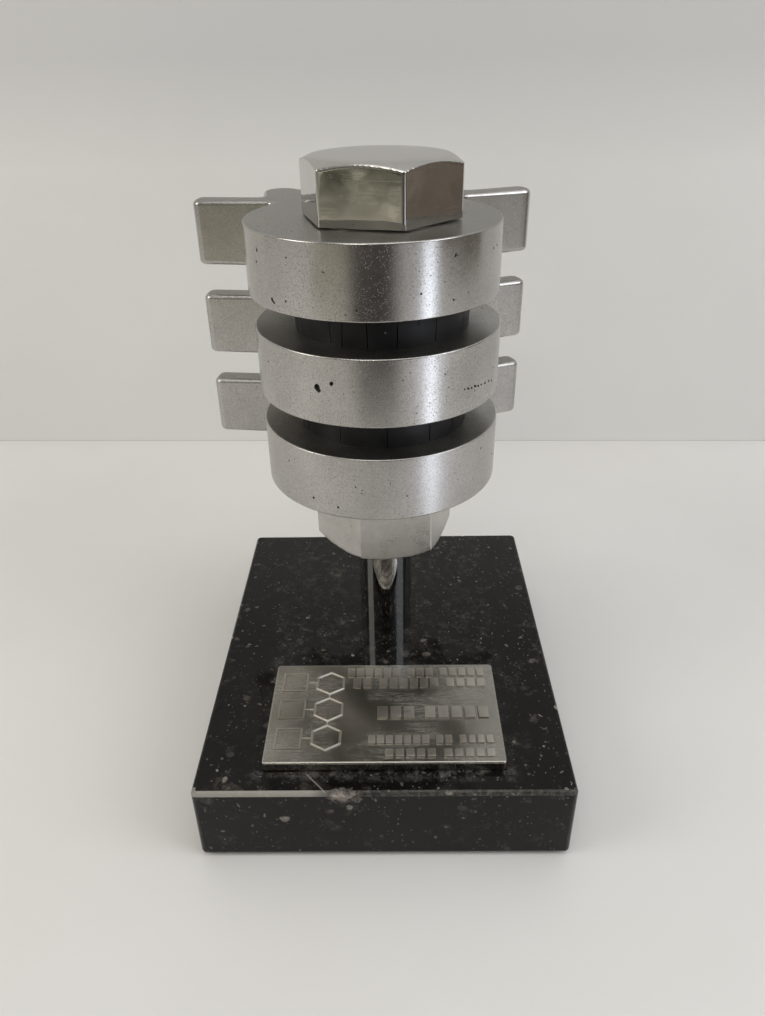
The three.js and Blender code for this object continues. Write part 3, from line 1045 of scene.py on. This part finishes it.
# Holes that are big enough to see, as (angle, height above the link's foot, radius, flatness).
link_holes = {
    "vertebra_lower": [
        (-48, 0.0125, 0.0003, 1.0), (-20, 0.0031, 0.00035, 1.2), (55, 0.0142, 0.00035, 0.8),
        (-33, 0.0042, 0.0004, 1.0), (12, 0.0071, 0.00025, 1.0), (71, 0.0083, 0.0005, 0.7),
    ],
    "vertebra_middle": [
        (-26.6, 0.0099, 0.0009, 1.25), (-25.7, 0.0091, 0.0007, 0.9), (-19.5, 0.0113, 0.0006, 1.3),
        (41.5, 0.0069, 0.0004, 0.7), (43.8, 0.0067, 0.00055, 0.6), (46.0, 0.0065, 0.0005, 0.7),
        (48.5, 0.0066, 0.0006, 0.7), (51.0, 0.0062, 0.00055, 0.6), (53.5, 0.0061, 0.00045, 0.7),
        (57.0, 0.0058, 0.0005, 0.7), (61.0, 0.0056, 0.0005, 0.7), (64.9, 0.0049, 0.00045, 0.7),
        (66.0, 0.0084, 0.0003, 1.0), (-58, 0.0122, 0.0003, 1.0), (30, 0.0125, 0.00025, 1.0),
    ],
    "vertebra_upper": [
        (-46.5, 0.0029, 0.0005, 1.3), (-45.4, 0.0023, 0.00045, 0.8), (-55.6, 0.0137, 0.00045, 1.2),
        (-57, 0.0108, 0.0004, 0.9), (-18.8, 0.0114, 0.0004, 0.5), (-38, 0.0034, 0.00035, 1.0),
        (35.5, 0.0138, 0.0003, 2.2), (35.3, 0.0036, 0.00035, 1.0), (62, 0.0128, 0.0004, 0.8),
        (66, 0.0131, 0.00035, 1.0), (-72, 0.0085, 0.0004, 1.0), (-36, 0.0137, 0.0003, 0.8),
        (-6, 0.0030, 0.0003, 0.7), (20, 0.0062, 0.0003, 1.0),
    ],
}
link_finish = {
    "vertebra_lower": ((0.45, 0.435, 0.42), (0.57, 0.555, 0.54), 0.28, 0.36, 0.8),
    "vertebra_middle": ((0.44, 0.425, 0.405), (0.56, 0.545, 0.525), 0.23, 0.31, 0.6),
    "vertebra_upper": ((0.43, 0.415, 0.395), (0.56, 0.545, 0.525), 0.17, 0.26, 1.2),
}
# The flat top and bottom faces take a darker copy of the cast finish: partly their own finish,
# partly painted shade where the parts above overhang them.
flat_face_shaded = cast_metal(
    "cast_aluminium_flat_face_shaded", (0.29, 0.28, 0.255), (0.42, 0.405, 0.38), 0.3, 0.42, 1.3
)
chance = random.Random(11)
for order, name in enumerate(("vertebra_lower", "vertebra_middle", "vertebra_upper")):
    low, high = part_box(name)
    shift = DISC_SHIFT[name]
    link = link_blank(name + "_cast", low.z, high.z, shift)
    drilled(link, low.z, high.z)
    finish = cast_metal("cast_aluminium_" + name.split("_")[1], *link_finish[name])
    covered(link, finish, pore_black, flat_face_shaded)
    holes = [
        (*on_disc(shift, angle, low.z + rise), size, flatness, 0.37 * number)
        for number, (angle, rise, size, flatness) in enumerate(link_holes[name])
    ]
    for number in range(18):
        angle, rise = chance.uniform(-118, 118), chance.uniform(0.0015, 0.0165)
        size = chance.uniform(0.00014, 0.00022)
        holes.append((*on_disc(shift, angle, low.z + rise), size, 1.0, number))
    for number in range(20):
        angle, reach = chance.uniform(-180, 180), chance.uniform(0.021, 0.0315)
        size = chance.uniform(0.00014, 0.0003)
        holes.append((*on_disc(shift, angle, high.z, reach), size, 0.8, number))
    combined(link, [pebbles("pores", holes, 40 + 100 * order, pore_black, 1)])
    # Flat faces get the darker copy, partly painted shade.
    for face in link.data.polygons:
        if abs(face.normal.z) > 0.9 and face.material_index == 0:
            face.material_index = list(link.data.materials).index(flat_face_shaded)
    smooth(link, 28)
    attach(link, name)
    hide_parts(name)


# Black discs: moulded rubber, squeezed a little proud between the links. Age has split
# the rim here and there.
SPACER_EASE, SPACER_BULGE, SHORT_SPLIT = 0.0010, 0.00035, 23.1
rubber = new_surface("black_rubber", {"Specular IOR Level": 0.3})
rubber_place = position(rubber)
rubber_tone = noise(rubber, rubber_place, 180, 6, 0.65)
speck, _ = spots(rubber, rubber_place, 700, 0.1, 0.17, 0.05)
rubber_colour = ramp(
    rubber, rubber_tone, [(0.3, (0.005, 0.005, 0.006)), (0.7, (0.012, 0.012, 0.014))]
)
finish_with(
    rubber,
    Base_Color=mixed(rubber, speck, rubber_colour, (0.25, 0.24, 0.22)),
    Roughness=spread(rubber, rubber_tone, 0.3, 0.7, 0.36, 0.55),
    Normal=bump(
        rubber, noise(rubber, rubber_place, 1600, 4, 0.7), 0.00003, 0.6,
        bump(rubber, noise(rubber, rubber_place, 150, 3), 0.0003, 0.4),
    ),
)
split_angles = {
    "disc_lower": (-28.4, 3.2, 31.9, 52.9, 84, 121, 158, -161, -117, -88, -60),
    "disc_upper": (-32.8, -24.1, -8.4, 9.7, 35.2, 63.2, 97, 133, 171, -142, -104, -71),
}
for order, name in enumerate(("disc_lower", "disc_upper")):
    low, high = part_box(name)
    radius = (high.x - low.x) / 2
    middle = (low.z + high.z) / 2
    wall_line = rounded(radius - SPACER_BULGE * 0.7, low.z, SPACER_EASE, -90, 0)
    wall_line += [
        (radius - SPACER_BULGE * 0.7 * (share / 3) ** 2,
         middle + share * (high.z - middle) * 0.24)
        for share in (-2, -1, 0, 1, 2)
    ]
    wall_line += rounded(radius - SPACER_BULGE * 0.7, high.z, SPACER_EASE, 0, 90)
    disc = turned(name + "_rubber", [
        (LINK_BORE, low.z), *wall_line, (LINK_BORE, high.z), (LINK_BORE, low.z),
    ])
    splits = []
    for number, angle in enumerate(split_angles[name]):
        bpy.ops.mesh.primitive_cube_add(
            size=1, location=(STACK_X + radius * sin(radians(angle)),
                              STACK_Y - radius * cos(radians(angle)), middle),
            rotation=(0, radians(chance.uniform(-2.5, 2.5)), radians(angle)),
            scale=(0.00022, 0.0022, 0.0084 if number % 4 else 0.0074),
        )
        split = bpy.context.object
        settle(split)
        bpy.ops.object.mode_set(mode="EDIT")
        bpy.ops.mesh.subdivide(number_cuts=3)
        bpy.ops.transform.vertex_random(offset=0.00009, seed=300 + 20 * order + number)
        done_editing()
        splits.append(split)
    if name == "disc_upper":
        short = slab_between(
            "short_split",
            (-0.00011, -0.0011, middle + 0.0012), (0.00011, 0.0011, high.z - 0.0004),
        )
        turn = radians(SHORT_SPLIT)
        short.rotation_euler.z = turn
        short.location = (STACK_X + radius * sin(turn), STACK_Y - radius * cos(turn), 0)
        settle(short)
        splits.append(short)
    combined(disc, [joined(splits, "splits")])
    covered(disc, rubber)
    smooth(disc, 28)
    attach(disc, name)
    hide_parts(name)


# Bolt: a large chromed hexagon bolt. Its head was hand-buffed to a mirror, which rounded
# the corners; the shank runs down through the links into the nut.
HEAD_TURN, HEAD_HEIGHT, HEAD_RISE, HEAD_ACROSS = 16, 0.0142, 0.0005, 0.0364
WASHER_FACE, WASHER_FACE_RADIUS = 0.0004, 0.017
BOLT_LENGTH, TIP_EASE = 0.09, 0.0015
bolt_low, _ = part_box("clamp_bolt")
head_bottom = bolt_low.z + BOLT_LENGTH
hex_bottom, hex_top = head_bottom + WASHER_FACE, head_bottom + WASHER_FACE + HEAD_HEIGHT
head = hexagon("bolt_head", hex_bottom - 0.0015, hex_top + HEAD_RISE, HEAD_TURN, HEAD_ACROSS)
flat, corner = HEAD_ACROSS / 2, HEAD_ACROSS / sqrt(3)
head_cap = turned("head_cap", [
    (0, hex_bottom - 0.0014), (corner + 1e-5, hex_bottom - 0.0014),
    (corner + 1e-5, hex_top - (corner - flat + 0.0008) * 0.445),
    (flat - 0.0008, hex_top), (flat - 0.003, hex_top + 0.55 * HEAD_RISE),
    (flat - 0.009, hex_top + 0.88 * HEAD_RISE), (0, hex_top + HEAD_RISE - 1e-5),
])
combined(head, [head_cap], "INTERSECT")
worn_round(head, 0.0003, 6)
# The underside was faced flat, so its edge is still sharp.
only(head)
bpy.ops.object.mode_set(mode="EDIT")
bpy.ops.mesh.select_all(action="SELECT")
bpy.ops.mesh.bisect(
    plane_co=(0, 0, hex_bottom), plane_no=(0, 0, 1), use_fill=True, clear_inner=True
)
done_editing()
shank = turned("shank", [
    (0, bolt_low.z + 0.013), (0.00415, bolt_low.z + 0.013), (0.00415, bolt_low.z),
    (BOLT_RADIUS - TIP_EASE, bolt_low.z), (BOLT_RADIUS, bolt_low.z + TIP_EASE),
    (BOLT_RADIUS, head_bottom), (WASHER_FACE_RADIUS, head_bottom),
    (WASHER_FACE_RADIUS, hex_bottom + 0.0005), (0, hex_bottom + 0.0005),
])
combined(head, [shank], "UNION")


def buffed(name, colour):
    """Mirror chrome from the buffing wheel: fine level scratches and a soft waviness."""
    material = new_surface(name, {"Metallic": 1.0})
    where = position(material)
    clouds = noise(material, where, 85, 6, 0.6)
    drawn = node(
        material, "Mapping", {"Vector": where, "Scale": (1, 1, 26)}
    ).outputs["Vector"]
    strokes = noise(material, drawn, 75, 5, 0.75)
    patch = spread(material, clouds, 0.42, 0.6, 0, 1)
    scratch = times(material, spread(material, strokes, 0.55, 0.7, 0, 0.5), patch)
    place = node(material, "SeparateXYZ", {0: where})
    top = spread(material, place.outputs[2], hex_top - 0.0022, hex_top - 0.0002, 0, 1)
    tone = ramp(material, clouds, [(0.3, tuple(0.9 * c for c in colour)), (0.7, colour)])
    rough = maths(
        material, "ADD", spread(material, clouds, 0.35, 0.7, 0.02, 0.06),
        times(material, scratch, 0.10),
    )
    rough = maths(material, "ADD", rough, times(material, top, 0.16))
    height = times(material, scratch, -1.0)
    finish_with(
        material, Base_Color=tone, Roughness=rough,
        Normal=bump(
            material, height, 0.00002, 0.7,
            bump(material, noise(material, where, 95, 2), 0.0003, 0.35),
        ),
    )
    return material


covered(head, buffed("buffed_chrome", (0.60, 0.585, 0.56)))
smooth(head, 40)
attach(head, "base")
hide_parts("clamp_bolt")
